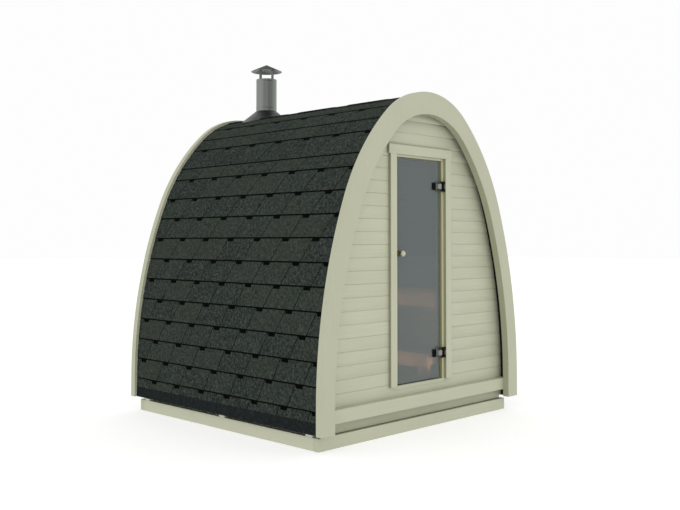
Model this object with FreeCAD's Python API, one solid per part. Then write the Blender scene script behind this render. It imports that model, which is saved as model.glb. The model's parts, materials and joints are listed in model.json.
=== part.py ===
"""Outdoor sauna cabin: an arched pod of curved staves on a timber base, with a glass door.

Millimetres, +Z up. The origin lies on the ground at the middle of the plan, x runs along the
front from left to right, and the door is in the wall that faces -y.
"""
import FreeCAD, Part
import math
import os

V = FreeCAD.Vector

# Base frame on the ground
BASE_SIDE_INSET = 56.0
BASE_DEPTH = 2016.0
BASE_BEAM_HEIGHT = 85.0
BASE_BEAM_THICKNESS = 45.0

# Support pads that lift the body off the base
PAD_HEIGHT = 25.0
PAD_LENGTH = 60.0
PAD_WIDTH = 45.0
PAD_END_INSET = 62.0
PAD_MIDDLE_SHIFT = -22.0

# Outer outline of the arches: crown, haunch and side arcs that run into each other
ARCH_HALF_WIDTH = 1081.0
ARCH_APEX_HEIGHT = 2386.0
CROWN_RADIUS = 614.0
HAUNCH_RADIUS = 1601.0
SIDE_RADIUS = 3727.0
CROWN_ANGLE = 42.0
HAUNCH_ANGLE = 27.0

# Inner outline of the arches
ARCH_FOOT_WIDTH = 120.0
ARCH_CROWN_WIDTH = 160.0
INNER_CROWN_RADIUS = 541.0
INNER_HAUNCH_RADIUS = 1633.0
INNER_SIDE_RADIUS = 3554.0
INNER_CROWN_ANGLE = 46.4
INNER_HAUNCH_ANGLE = 23.4

ARCH_THICKNESS = 52.0
ARCH_EDGE_BEVEL = 2.5
FRONT_OVERHANG = 85.0
REAR_OVERHANG = 52.0

# Curved shell and its covering
ROOF_RECESS = 20.0
COVERING_THICKNESS = 8.0
SHELL_THICKNESS = 50.0
EAVE_STRIP_HEIGHT = 78.0
EAVE_STRIP_THICKNESS = 8.0

# Floor
FRAME_TIMBER_THICKNESS = 45.0
FRAME_TIMBER_HEIGHT = 115.0
FLOOR_THICKNESS = 28.0
RIM_LIP_GAP = 6.0
RIM_LIP_END_INSET = 24.0
JOIST_COUNT = 5

# Sills across the arches' feet, and the end walls behind them
SILL_THICKNESS = 50.0
SILL_HEIGHT = 90.0
SILL_EDGE_BEVEL = 2.5
END_WALL_THICKNESS = 45.0
SHELL_FIT_GAP = 0.3

# Doorway and its frame
DOOR_CLEAR_WIDTH = 500.0
DOOR_STEP_HEIGHT = 70.0
DOOR_APEX_DISTANCE = 468.0
DOOR_FRAME_WIDTH = 45.0
THRESHOLD_HEIGHT = 30.0
FRAME_FIT_GAP = 2.0
STOP_WIDTH = 14.0
LATCH_STOP_WIDTH = 8.0
GLASS_RECESS = 15.0
GLASS_THICKNESS = 8.0
GLASS_EDGE_GAP = 6.5
GLASS_STOP_GAP = 5.0
GLASS_CORNER_RADIUS = 6.0
CASING_THICKNESS = 22.0
CASING_WIDTH = 66.0
CASING_REVEAL = 24.0
HEADER_REVEAL = 16.0
CASING_END_DROP = 2.0
HEADER_HEIGHT = 66.0
HEADER_OVERHANG = 15.0

# Door hinges
HINGE_END_DISTANCE = 183.0
HINGE_AXIS_INSET = 4.0
HINGE_AXIS_STAND_OFF = 26.0
CLAMP_LENGTH = 44.0
CLAMP_HEIGHT = 54.0
CLAMP_PLATE_THICKNESS = 8.0
CLAMP_EDGE_DISTANCE = 42.0
HINGE_ARM_HEIGHT = 36.0
HINGE_ARM_THICKNESS = 5.0
KNUCKLE_RADIUS = 8.0
PIN_RADIUS = 4.0
PIN_CLEARANCE = 0.05
KNUCKLE_END_GAP = 0.5
BRACKET_HEIGHT = 74.0
KNUCKLE_SIDE_GAP = 2.0
BRACKET_CASING_GAP = 1.0
BRACKET_PLATE_THICKNESS = 6.0

# Door knobs
KNOB_HEIGHT_ON_GLASS = 910.5
KNOB_EDGE_DISTANCE = 25.5
KNOB_ROSE_THICKNESS = 4.0
OUTSIDE_KNOB_RADIUS = 21.0
OUTSIDE_KNOB_REACH = 52.0
INSIDE_KNOB_RADIUS = 13.0
INSIDE_KNOB_REACH = 34.0
KNOB_HEAD_SHARE = 1.7
KNOB_ROSE_SHARE = 0.9
KNOB_NECK_SHARE = 0.5
KNOB_SHOULDER_SHARE = 0.3
KNOB_FLATS = 24

# Chimney
CHIMNEY_BACK_DISTANCE = 313.0
CHIMNEY_RADIUS = 87.0
FLUE_RADIUS = 57.5
CHIMNEY_HEIGHT = 340.0
CHIMNEY_INSIDE_LENGTH = 40.0
ROOF_HOLE_CLEARANCE = 3.0
FLASHING_HEIGHT = 68.0
FLASHING_ANGLE = 39.0
FLASHING_THICKNESS = 1.5
CAP_RADIUS = 132.0
CAP_GAP = 69.0
CAP_HEIGHT = 60.0
CAP_THICKNESS = 2.0
STRAP_COUNT = 4
STRAP_CIRCLE_RADIUS = 70.0
STRAP_WIDTH = 16.0
STRAP_THICKNESS = 4.0

# Upper bench between the end walls, along the right-hand side wall
UPPER_BENCH_FRONT = 480.0
UPPER_BENCH_HEIGHT = 707.0
UPPER_BENCH_SKIRT_HEIGHT = 148.0
BENCH_END_GAP = 3.0
BENCH_WALL_GAP = 0.3

# Lower bench, which stands on the floor
LOWER_BENCH_FRONT = 350.0
LOWER_BENCH_DEPTH = 300.0
LOWER_BENCH_HEIGHT = 217.0
LOWER_BENCH_SKIRT_HEIGHT = 108.0
LOWER_BENCH_SETBACK = 176.0
BENCH_LEG_WIDTH = 98.0

# Timbers of both benches
SLAT_THICKNESS = 28.0
SLAT_WIDTH = 86.0
SLAT_GAP = 12.0
BEARER_COUNT = 3
BEARER_WIDTH = 45.0
BEARER_HEIGHT = 60.0

# Places worked out from the sizes above
BASE_HALF_WIDTH = ARCH_HALF_WIDTH - BASE_SIDE_INSET
HALF_DEPTH = (FRONT_OVERHANG + BASE_DEPTH + REAR_OVERHANG) / 2
BASE_FRONT = FRONT_OVERHANG - HALF_DEPTH
BASE_BACK = BASE_FRONT + BASE_DEPTH
SHELL_FRONT = ARCH_THICKNESS - HALF_DEPTH
SHELL_BACK = HALF_DEPTH - ARCH_THICKNESS
WALL_FRONT = SHELL_FRONT + SILL_THICKNESS
WALL_BACK = SHELL_BACK - SILL_THICKNESS
ROOM_FRONT = WALL_FRONT + END_WALL_THICKNESS
ROOM_BACK = WALL_BACK - END_WALL_THICKNESS
BODY_BOTTOM = BASE_BEAM_HEIGHT + PAD_HEIGHT
FLOOR_BOTTOM = BODY_BOTTOM + FRAME_TIMBER_HEIGHT
FLOOR_TOP = FLOOR_BOTTOM + FLOOR_THICKNESS
SHELL_OUTSET = ROOF_RECESS + COVERING_THICKNESS
SHELL_INSET = SHELL_OUTSET + SHELL_THICKNESS
CEILING = ARCH_APEX_HEIGHT - SHELL_INSET
ROOF_TOP = ARCH_APEX_HEIGHT - ROOF_RECESS

DOOR_HALF = DOOR_CLEAR_WIDTH / 2
DOOR_BOTTOM = FLOOR_TOP + DOOR_STEP_HEIGHT
DOOR_TOP = ARCH_APEX_HEIGHT - DOOR_APEX_DISTANCE
FRAME_HALF = DOOR_HALF + DOOR_FRAME_WIDTH
FRAME_BOTTOM = DOOR_BOTTOM - THRESHOLD_HEIGHT
FRAME_TOP = DOOR_TOP + DOOR_FRAME_WIDTH
CASING_HALF = DOOR_HALF + CASING_REVEAL
CASING_TOP = DOOR_TOP + HEADER_REVEAL
CASING_FRONT = WALL_FRONT - CASING_THICKNESS
GLASS_FRONT = WALL_FRONT + GLASS_RECESS
GLASS_BACK = GLASS_FRONT + GLASS_THICKNESS
STOP_FRONT = GLASS_BACK + GLASS_STOP_GAP
GLASS_HALF = DOOR_HALF - GLASS_EDGE_GAP
GLASS_BOTTOM = DOOR_BOTTOM + GLASS_EDGE_GAP
GLASS_TOP = DOOR_TOP - GLASS_EDGE_GAP
HINGE_X = DOOR_HALF - HINGE_AXIS_INSET
HINGE_Y = GLASS_FRONT - HINGE_AXIS_STAND_OFF
HINGE_HEIGHTS = (GLASS_BOTTOM + HINGE_END_DISTANCE, GLASS_TOP - HINGE_END_DISTANCE)
CHIMNEY_Y = BASE_BACK - CHIMNEY_BACK_DISTANCE
CHIMNEY_TOP = ROOF_TOP + CHIMNEY_HEIGHT
FLASHING_TOP = ROOF_TOP + FLASHING_HEIGHT
CAP_RIM = CHIMNEY_TOP + CAP_GAP


def box(x0, x1, y0, y1, z0, z1):
    """Block between two corners."""
    return Part.makeBox(x1 - x0, y1 - y0, z1 - z0, V(x0, y0, z0))


def mirrored(shape):
    """Copy on the other side of the middle plane."""
    return shape.mirror(V(0, 0, 0), V(1, 0, 0))


def export(name, *solids):
    """One node of the assembly."""
    shape = solids[0] if len(solids) == 1 else Part.makeCompound(list(solids))
    shape.exportStep("parts/" + name + ".step")


class Outline:
    """Upright arch curve: crown, haunch and side arcs, and a plumb leg below them.

    The radii of the three arcs are scaled together until the arcs span the half width.
    """

    def __init__(self, half_width, apex, radii, angles):
        self.half_width = half_width
        first = math.radians(angles[0])
        second = math.radians(angles[0] + angles[1])
        self.joints = (0.0, first, second, math.pi / 2)
        spans = (math.sin(first), math.sin(second) - math.sin(first), 1 - math.sin(second))
        fit = half_width / sum(radius * span for radius, span in zip(radii, spans))
        self.radii = [radius * fit for radius in radii]
        centre = V(0, 0, apex - self.radii[0])
        self.centres = [centre]
        for joint, before, after in zip(self.joints[1:3], self.radii, self.radii[1:]):
            centre = centre + V(math.sin(joint), 0, math.cos(joint)) * (before - after)
            self.centres.append(centre)

    def point(self, angle, arc):
        """Point on one arc, at an angle from plumb over the crown."""
        return self.centres[arc] + V(math.sin(angle), 0, math.cos(angle)) * self.radii[arc]

    def arcs(self, first, last):
        """Right-hand edges from one joint number down to another, from the crown outwards."""
        edges = []
        for arc in range(first, last):
            start, end = self.joints[arc], self.joints[arc + 1]
            points = [self.point(a, arc) for a in (start, (start + end) / 2, end)]
            edges.append(Part.Arc(*points).toShape())
        return edges

    def foot(self):
        """Lower end of the plumb leg, which runs on to well below the ground."""
        return V(self.half_width, 0, -ARCH_APEX_HEIGHT)

    def leg(self):
        """Plumb line from the lowest arc down to the foot."""
        return Part.makeLine(self.point(math.pi / 2, 2), self.foot())

    def half(self):
        """All right-hand edges, from the crown to the foot."""
        return self.arcs(0, 3) + [self.leg()]

    def solid(self, y0, y1, bottom):
        """Everything under the curve and above a level, between two depths."""
        right = self.half()
        left = [mirrored(edge) for edge in right]
        closing = Part.makeLine(mirrored(Part.Vertex(self.foot())).Point, self.foot())
        face = Part.Face(Part.Wire(Part.__sortEdges__(right + left + [closing])))
        return above(extrude(face, y0, y1), bottom)


def parallel(inset):
    """Curve that lies a fixed distance inside the arches' outer outline."""
    edge = Outline(ARCH_HALF_WIDTH, ARCH_APEX_HEIGHT, (CROWN_RADIUS, HAUNCH_RADIUS, SIDE_RADIUS),
                   (CROWN_ANGLE, HAUNCH_ANGLE))
    return Outline(ARCH_HALF_WIDTH - inset, ARCH_APEX_HEIGHT - inset,
                   [radius - inset for radius in edge.radii], (CROWN_ANGLE, HAUNCH_ANGLE))


def wall_x(height):
    """Distance from the middle to the shell's inner face at a height."""
    line = Part.makeLine(V(0, 0, height), V(ARCH_HALF_WIDTH, 0, height))
    curve = Part.Wire(parallel(SHELL_INSET).half())
    return curve.distToShape(line)[1][0][0].x


def above(solid, height):
    """What a solid has above a level."""
    reach = 2 * ARCH_APEX_HEIGHT
    return solid.common(box(-reach, reach, -reach, reach, height, reach))


def extrude(face, y0, y1):
    """Area in the plane y = 0 stretched between two depths."""
    solid = face.extrude(V(0, y1 - y0, 0))
    solid.translate(V(0, y0, 0))
    return solid


def ring_sector(outer, inner, first, last):
    """Area between two parallel curves, from one joint to another, with the leg after the third."""
    curves = (outer, inner)
    edges = outer.arcs(first, last) + inner.arcs(first, last)
    tops = [curve.point(curve.joints[first], first) for curve in curves]
    ends = [curve.point(curve.joints[last], last - 1) for curve in curves]
    if last == 3:
        edges += [curve.leg() for curve in curves]
        ends = [curve.foot() for curve in curves]
    edges += [Part.makeLine(*tops), Part.makeLine(*ends)]
    return Part.Face(Part.Wire(Part.__sortEdges__(edges)))


def eased(solid, picks, size):
    """Solid with a small bevel on the edges whose bounding box passes a test."""
    edges = [edge for edge in solid.Edges if picks(edge.BoundBox)]
    return solid.makeChamfer(size, edges)


def build_base():
    """Ground frame of five timbers and the pads on its side timbers."""
    half = BASE_HALF_WIDTH
    inner = half - BASE_BEAM_THICKNESS
    front_inner = BASE_FRONT + BASE_BEAM_THICKNESS
    back_inner = BASE_BACK - BASE_BEAM_THICKNESS
    middle = (BASE_FRONT + BASE_BACK) / 2
    top = BASE_BEAM_HEIGHT
    export("base_front_beam", box(-half, half, BASE_FRONT, front_inner, 0, top))
    export("base_back_beam", box(-half, half, back_inner, BASE_BACK, 0, top))
    right = box(inner, half, front_inner, back_inner, 0, top)
    export("base_right_beam", right)
    export("base_left_beam", mirrored(right))
    export("base_middle_beam", box(-inner, inner, middle - BASE_BEAM_THICKNESS / 2,
                                   middle + BASE_BEAM_THICKNESS / 2, 0, top))
    pads = []
    ends = (BASE_FRONT + PAD_END_INSET, BASE_BACK - PAD_END_INSET - PAD_LENGTH)
    for start in (ends[0], (ends[0] + ends[1]) / 2 + PAD_MIDDLE_SHIFT, ends[1]):
        pad = box(half - PAD_WIDTH, half, start, start + PAD_LENGTH, top, BODY_BOTTOM)
        pads += [pad, mirrored(pad)]
    export("support_pads", *pads)


def build_floor():
    """Floor frame between the shell's feet, with a lip close over the base, and its boards."""
    half = wall_x(FLOOR_TOP)
    rim = FRAME_TIMBER_THICKNESS
    low, high = BODY_BOTTOM, FLOOR_BOTTOM
    lip = half - RIM_LIP_END_INSET
    front = box(-half, half, WALL_FRONT, WALL_FRONT + rim, low, high)
    front = front.fuse(box(-lip, lip, WALL_FRONT, WALL_FRONT + rim,
                           BASE_BEAM_HEIGHT + RIM_LIP_GAP, low)).removeSplitter()
    export("floor_rims", front, front.mirror(V(0, 0, 0), V(0, 1, 0)))
    step = (2 * half - rim) / (JOIST_COUNT - 1)
    joists = [box(-half + n * step, -half + n * step + rim, WALL_FRONT + rim, WALL_BACK - rim,
                  low, high) for n in range(JOIST_COUNT)]
    export("floor_joists", *joists)
    export("floor_boards", box(-half, half, WALL_FRONT, WALL_BACK, high, FLOOR_TOP))


def build_sills():
    """Timbers behind the arches' feet that close the floor's edge."""
    half = wall_x(FLOOR_TOP)
    sill = box(-half, half, SHELL_FRONT, WALL_FRONT, FLOOR_TOP - SILL_HEIGHT, FLOOR_TOP)

    sill = eased(sill, lambda reach: reach.XLength > half and reach.YMax < WALL_FRONT,
                 SILL_EDGE_BEVEL)
    export("front_sill", sill)
    export("back_sill", sill.mirror(V(0, 0, 0), V(0, 1, 0)))


def build_arches():
    """Flat arched boards that frame both ends."""
    outer = parallel(0)
    inner = Outline(ARCH_HALF_WIDTH - ARCH_FOOT_WIDTH, ARCH_APEX_HEIGHT - ARCH_CROWN_WIDTH,
                    (INNER_CROWN_RADIUS, INNER_HAUNCH_RADIUS, INNER_SIDE_RADIUS),
                    (INNER_CROWN_ANGLE, INNER_HAUNCH_ANGLE))
    plate = outer.solid(-HALF_DEPTH, SHELL_FRONT, BODY_BOTTOM)
    arch = plate.cut(inner.solid(-HALF_DEPTH, SHELL_FRONT, 0))

    middle = (SHELL_FRONT - HALF_DEPTH) / 2
    arch = eased(arch, lambda reach: reach.YMax < middle and reach.ZLength > ARCH_FOOT_WIDTH,
                 ARCH_EDGE_BEVEL)
    export("front_arch", arch)
    export("back_arch", arch.mirror(V(0, 0, 0), V(0, 1, 0)))


def build_shell():
    """Curved side walls and roof in five stretches, with the chimney's hole in the crown."""
    outer = parallel(SHELL_OUTSET)
    inner = parallel(SHELL_INSET)
    side = extrude(ring_sector(outer, inner, 2, 3), SHELL_FRONT, SHELL_BACK)
    side = above(side, BODY_BOTTOM)
    haunch = extrude(ring_sector(outer, inner, 1, 2), SHELL_FRONT, SHELL_BACK)
    half_crown = extrude(ring_sector(outer, inner, 0, 1), SHELL_FRONT, SHELL_BACK)
    crown = half_crown.fuse(mirrored(half_crown)).removeSplitter()
    crown = crown.cut(chimney_hole())
    export("side_wall_right", side)
    export("side_wall_left", mirrored(side))
    export("roof_haunch_right", haunch)
    export("roof_haunch_left", mirrored(haunch))
    export("roof_crown", crown)


def chimney_hole():
    """Round hole for the chimney through the roof."""
    radius = CHIMNEY_RADIUS + ROOF_HOLE_CLEARANCE
    return Part.makeCylinder(radius, ARCH_APEX_HEIGHT, V(0, CHIMNEY_Y, FLOOR_TOP))


def build_covering():
    """Shingle skins on both slopes and the dark strips along the eaves."""
    outer = parallel(ROOF_RECESS)
    inner = parallel(SHELL_OUTSET)
    strip_top = BODY_BOTTOM + EAVE_STRIP_HEIGHT
    skin = extrude(ring_sector(outer, inner, 0, 3), SHELL_FRONT, SHELL_BACK)
    skin = above(skin, strip_top).cut(chimney_hole())
    export("roof_covering_right", skin)
    export("roof_covering_left", mirrored(skin))
    x = ARCH_HALF_WIDTH - SHELL_OUTSET
    strip = box(x, x + EAVE_STRIP_THICKNESS, SHELL_FRONT, SHELL_BACK, BODY_BOTTOM, strip_top)
    export("eave_strips", strip, mirrored(strip))


def build_end_walls():
    """Front wall in four pieces round the doorway, and the plain back wall."""
    inside = parallel(SHELL_INSET + SHELL_FIT_GAP)
    front = inside.solid(WALL_FRONT, ROOM_FRONT, FLOOR_TOP)
    half = FRAME_HALF + FRAME_FIT_GAP
    top = FRAME_TOP + FRAME_FIT_GAP
    wide = ARCH_HALF_WIDTH
    right = front.common(box(half, wide, SHELL_FRONT, ROOM_BACK, 0, top))
    export("front_wall_right", right)
    export("front_wall_left", mirrored(right))
    export("front_wall_top", above(front, top))
    export("front_wall_bottom", box(-half, half, WALL_FRONT, ROOM_FRONT, FLOOR_TOP, FRAME_BOTTOM))
    export("back_wall", inside.solid(ROOM_BACK, WALL_BACK, FLOOR_TOP))


def jamb(stop_width):
    """Right-hand upright of the door frame, with its stop behind the glass."""
    post = box(DOOR_HALF, FRAME_HALF, WALL_FRONT, ROOM_FRONT, FRAME_BOTTOM, FRAME_TOP)
    stop = box(DOOR_HALF - stop_width, DOOR_HALF, STOP_FRONT, ROOM_FRONT,
               DOOR_BOTTOM, DOOR_TOP)
    return post.fuse(stop)


def build_door_frame():
    """Jambs and head with a stop behind the glass, and the threshold."""
    export("door_jamb_right", jamb(STOP_WIDTH))
    export("door_jamb_left", mirrored(jamb(LATCH_STOP_WIDTH)))
    head = box(-DOOR_HALF, DOOR_HALF, WALL_FRONT, ROOM_FRONT, DOOR_TOP, FRAME_TOP)
    stop = box(LATCH_STOP_WIDTH - DOOR_HALF, DOOR_HALF - STOP_WIDTH, STOP_FRONT, ROOM_FRONT,
               DOOR_TOP - STOP_WIDTH, DOOR_TOP)
    export("door_head", head.fuse(stop))
    export("door_threshold", box(-DOOR_HALF, DOOR_HALF, WALL_FRONT, ROOM_FRONT,
                                 FRAME_BOTTOM, DOOR_BOTTOM))


def build_casing():
    """Flat boards that cover the joint between the door frame and the siding."""
    outside = CASING_HALF + CASING_WIDTH
    right = box(CASING_HALF, outside, CASING_FRONT, WALL_FRONT,
                DOOR_BOTTOM - CASING_END_DROP, CASING_TOP)
    export("door_casing_right", right)
    export("door_casing_left", mirrored(right))
    end = outside + HEADER_OVERHANG
    export("door_header_board", box(-end, end, CASING_FRONT, WALL_FRONT,
                                    CASING_TOP, CASING_TOP + HEADER_HEIGHT))


def build_glass():
    """Single pane with rounded corners."""
    pane = box(-GLASS_HALF, GLASS_HALF, GLASS_FRONT, GLASS_BACK, GLASS_BOTTOM, GLASS_TOP)
    corners = [edge for edge in pane.Edges if edge.BoundBox.YLength > GLASS_THICKNESS / 2]
    export("door_glass", pane.makeFillet(GLASS_CORNER_RADIUS, corners))


def clamp(height):
    """Door half of a hinge: two clamp plates, the arm and the knuckle with its pin hole."""
    right = GLASS_HALF - CLAMP_EDGE_DISTANCE
    left = right - CLAMP_LENGTH
    low, high = height - CLAMP_HEIGHT / 2, height + CLAMP_HEIGHT / 2
    outside = box(left, right, GLASS_FRONT - CLAMP_PLATE_THICKNESS, GLASS_FRONT, low, high)
    inside = box(left, right, GLASS_BACK, GLASS_BACK + CLAMP_PLATE_THICKNESS, low, high)
    arm_low, arm_high = height - HINGE_ARM_HEIGHT / 2, height + HINGE_ARM_HEIGHT / 2
    plate_front = GLASS_FRONT - CLAMP_PLATE_THICKNESS
    link_front = HINGE_Y - HINGE_ARM_THICKNESS / 2
    arm = box(right - HINGE_ARM_THICKNESS, right, link_front, plate_front, arm_low, arm_high)
    link = box(right, HINGE_X, link_front, link_front + HINGE_ARM_THICKNESS, arm_low, arm_high)
    knuckle = Part.makeCylinder(KNUCKLE_RADIUS, HINGE_ARM_HEIGHT, V(HINGE_X, HINGE_Y, arm_low))
    leaf = outside.fuse([arm, link, knuckle])
    bore = Part.makeCylinder(PIN_RADIUS + PIN_CLEARANCE, HINGE_ARM_HEIGHT,
                             V(HINGE_X, HINGE_Y, arm_low))
    return leaf.cut(bore).removeSplitter(), inside


def bracket(height):
    """Frame half of a hinge: a plate on the jamb with two ears and the pin between them."""
    low, high = height - BRACKET_HEIGHT / 2, height + BRACKET_HEIGHT / 2
    left = HINGE_X + KNUCKLE_RADIUS + KNUCKLE_SIDE_GAP
    right = CASING_HALF - BRACKET_CASING_GAP
    plate = box(left, right, WALL_FRONT - BRACKET_PLATE_THICKNESS, WALL_FRONT, low, high)
    ear_height = (BRACKET_HEIGHT - HINGE_ARM_HEIGHT) / 2 - KNUCKLE_END_GAP
    pieces = []
    for start in (low, high - ear_height):
        web = box(HINGE_X, right, HINGE_Y - KNUCKLE_RADIUS,
                  WALL_FRONT - BRACKET_PLATE_THICKNESS, start, start + ear_height)
        eye = Part.makeCylinder(KNUCKLE_RADIUS, ear_height, V(HINGE_X, HINGE_Y, start))
        pieces += [web, eye]
    pin = Part.makeCylinder(PIN_RADIUS, BRACKET_HEIGHT, V(HINGE_X, HINGE_Y, low))
    return plate.fuse(pieces + [pin]).removeSplitter()


def build_hinges():
    """Upper and lower hinge, each with a half on the door and a half on the frame."""
    leaves = []
    for height in HINGE_HEIGHTS:
        leaves += clamp(height)
    export("door_hinge_clamps", *leaves)
    export("door_hinge_brackets", *[bracket(height) for height in HINGE_HEIGHTS])


def polygon(*corners):
    """Flat face between corners."""
    return Part.Face(Part.makePolygon(list(corners) + [corners[0]]))


def knob(radius, reach):
    """Knob that stands up from the origin: rose, neck and a head with cut shoulders.

    It is turned in flats, so that so small a piece has few faces.
    """
    neck_radius = radius * KNOB_NECK_SHARE
    rose_radius = radius * KNOB_ROSE_SHARE
    head_start = reach - radius * KNOB_HEAD_SHARE
    shoulder = (reach - head_start) * KNOB_SHOULDER_SHARE
    profile = [(rose_radius, 0), (rose_radius, KNOB_ROSE_THICKNESS),
               (neck_radius, KNOB_ROSE_THICKNESS), (neck_radius, head_start),
               (radius, head_start + shoulder), (radius, reach - shoulder), (neck_radius, reach)]
    turns = [2 * math.pi * n / KNOB_FLATS for n in range(KNOB_FLATS)]
    rings = [[V(across * math.cos(turn), across * math.sin(turn), along) for turn in turns]
             for across, along in profile]
    faces = [polygon(low[n - 1], low[n], high[n], high[n - 1])
             for low, high in zip(rings, rings[1:]) for n in range(KNOB_FLATS)]
    faces += [polygon(*rings[0]), polygon(*rings[-1])]
    return Part.makeSolid(Part.makeShell(faces))


def build_knobs():
    """Large knob on the outer face of the glass, and a small one behind it."""
    x = KNOB_EDGE_DISTANCE - GLASS_HALF
    sides = (("outside", knob(OUTSIDE_KNOB_RADIUS, OUTSIDE_KNOB_REACH), 90, GLASS_FRONT),
             ("inside", knob(INSIDE_KNOB_RADIUS, INSIDE_KNOB_REACH), -90, GLASS_BACK))
    for side, solid, turn, face in sides:
        solid.rotate(V(0, 0, 0), V(1, 0, 0), turn)
        solid.translate(V(x, face, GLASS_BOTTOM + KNOB_HEIGHT_ON_GLASS))
        export("door_knob_" + side, solid)


def build_chimney():
    """Insulated pipe through the crown, its flashing, and the rain cap on four straps."""
    axis = V(0, CHIMNEY_Y, 0)
    bottom = CEILING - CHIMNEY_INSIDE_LENGTH
    height = CHIMNEY_TOP - bottom
    pipe = Part.makeCylinder(CHIMNEY_RADIUS, height, axis + V(0, 0, bottom))
    pipe = pipe.cut(Part.makeCylinder(FLUE_RADIUS, height, axis + V(0, 0, bottom)))
    export("chimney_pipe", pipe)
    export("chimney_flashing", flashing())
    export("chimney_cap", rain_cap())


def flashing():
    """Thin cone round the pipe whose foot is cut to the curve of the roof, like a saddle.

    The cone stops where the roof starts to fall off more steeply than the cone does.
    """
    roof = parallel(ROOF_RECESS)
    slope = math.radians(FLASHING_ANGLE)
    run = roof.radii[0] * math.sin(slope) - CHIMNEY_RADIUS
    rise = run * math.tan(slope)
    base = V(0, CHIMNEY_Y, FLASHING_TOP - rise)
    top_radius = CHIMNEY_RADIUS + FLASHING_THICKNESS
    outside = Part.makeCone(top_radius + run, top_radius, rise, base)
    inside = Part.makeCone(CHIMNEY_RADIUS + run, CHIMNEY_RADIUS, rise, base)
    under_roof = roof.solid(CHIMNEY_Y - ARCH_HALF_WIDTH, CHIMNEY_Y + ARCH_HALF_WIDTH, 0)
    return outside.cut(inside).cut(under_roof)


def rain_cap():
    """Thin cone on four upright straps."""
    rim = V(0, CHIMNEY_Y, CAP_RIM)
    cone = Part.makeCone(CAP_RADIUS, 0, CAP_HEIGHT, rim)
    slope = CAP_THICKNESS * math.hypot(CAP_RADIUS, CAP_HEIGHT) / CAP_HEIGHT
    inner = CAP_RADIUS - slope
    cone = cone.cut(Part.makeCone(inner, 0, CAP_HEIGHT * inner / CAP_RADIUS, rim))
    strap_top = CAP_RIM + CAP_HEIGHT * (inner - STRAP_CIRCLE_RADIUS) / CAP_RADIUS
    for n in range(STRAP_COUNT):
        strap = box(STRAP_CIRCLE_RADIUS, STRAP_CIRCLE_RADIUS + STRAP_THICKNESS, -STRAP_WIDTH / 2,
                    STRAP_WIDTH / 2, CHIMNEY_TOP, strap_top + CAP_THICKNESS / 2)
        strap.rotate(V(0, 0, 0), V(0, 0, 1), 360 / STRAP_COUNT * n)
        strap.translate(V(0, CHIMNEY_Y, 0))
        cone = cone.fuse(strap)
    return cone


def slats(front, back, y0, y1, top):
    """Seat boards along the bench."""
    count = int((back - front + SLAT_GAP) / (SLAT_WIDTH + SLAT_GAP))
    pitch = (back - front + SLAT_GAP) / count
    return [box(front + n * pitch, front + n * pitch + pitch - SLAT_GAP, y0, y1,
                top - SLAT_THICKNESS, top) for n in range(count)]


def rows(y0, y1, width):
    """Starts of the rows of legs or bearers, from one end of a bench to the other."""
    step = (y1 - y0 - width) / (BEARER_COUNT - 1)
    return [y0 + n * step for n in range(BEARER_COUNT)]


def bearers(x0, x1, y0, y1, top):
    """Cross timbers that carry a seat."""
    return [box(x0, x1, y, y + BEARER_WIDTH, top - BEARER_HEIGHT, top)
            for y in rows(y0, y1, BEARER_WIDTH)]


def build_upper_bench():
    """Seat on cross timbers between a skirt and a ledger, the outer ones on the end walls."""
    y0, y1 = ROOM_FRONT + BENCH_END_GAP, ROOM_BACK - BENCH_END_GAP
    top = FLOOR_TOP + UPPER_BENCH_HEIGHT
    seat_bottom = top - SLAT_THICKNESS
    low = top - UPPER_BENCH_SKIRT_HEIGHT
    front = UPPER_BENCH_FRONT
    skirt_back = front + SLAT_THICKNESS
    wall = wall_x(seat_bottom) - BENCH_WALL_GAP
    ledger_front = wall - FRAME_TIMBER_THICKNESS
    export("upper_bench_seat", *slats(front, wall_x(top) - BENCH_WALL_GAP, y0, y1, top))
    export("upper_bench_skirt", box(front, skirt_back, y0, y1, low, seat_bottom))
    export("upper_bench_ledger", box(ledger_front, wall, y0, y1, low, seat_bottom))
    export("upper_bench_bearers",
           *bearers(skirt_back, ledger_front, ROOM_FRONT, ROOM_BACK, seat_bottom))


def build_lower_bench():
    """Step on a front skirt and a back rail, with cross timbers between them and legs below."""
    y0, y1 = ROOM_FRONT + LOWER_BENCH_SETBACK, ROOM_BACK - BENCH_END_GAP
    top = FLOOR_TOP + LOWER_BENCH_HEIGHT
    seat_bottom = top - SLAT_THICKNESS
    low = top - LOWER_BENCH_SKIRT_HEIGHT
    front, back = LOWER_BENCH_FRONT, LOWER_BENCH_FRONT + LOWER_BENCH_DEPTH
    skirt_back = front + FRAME_TIMBER_THICKNESS
    rail_front = back - FRAME_TIMBER_THICKNESS
    export("lower_bench_seat", *slats(front, back, y0, y1, top))
    export("lower_bench_beams", box(front, skirt_back, y0, y1, low, seat_bottom),
           box(rail_front, back, y0, y1, low, seat_bottom))
    legs = [box(x, x + FRAME_TIMBER_THICKNESS, y, y + BENCH_LEG_WIDTH, FLOOR_TOP, low)
            for x in (front, rail_front) for y in rows(y0, y1, BENCH_LEG_WIDTH)]
    export("lower_bench_legs", *legs)
    export("lower_bench_bearers", *bearers(skirt_back, rail_front, y0, y1, seat_bottom))


def main():
    """Build every node."""
    os.makedirs("parts", exist_ok=True)
    build_base()
    build_floor()
    build_sills()
    build_arches()
    build_shell()
    build_covering()
    build_end_walls()
    build_door_frame()
    build_casing()
    build_glass()
    build_hinges()
    build_knobs()
    build_chimney()
    build_upper_bench()
    build_lower_bench()


main()
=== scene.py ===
"""Looks of the outdoor sauna cabin: every piece in metres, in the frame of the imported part."""

import json
import logging
import math
import random
from collections.abc import Callable, Iterable, Sequence
from dataclasses import dataclass, field
from enum import Enum

import bmesh
import bpy
from mathutils import Matrix, Vector

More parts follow.
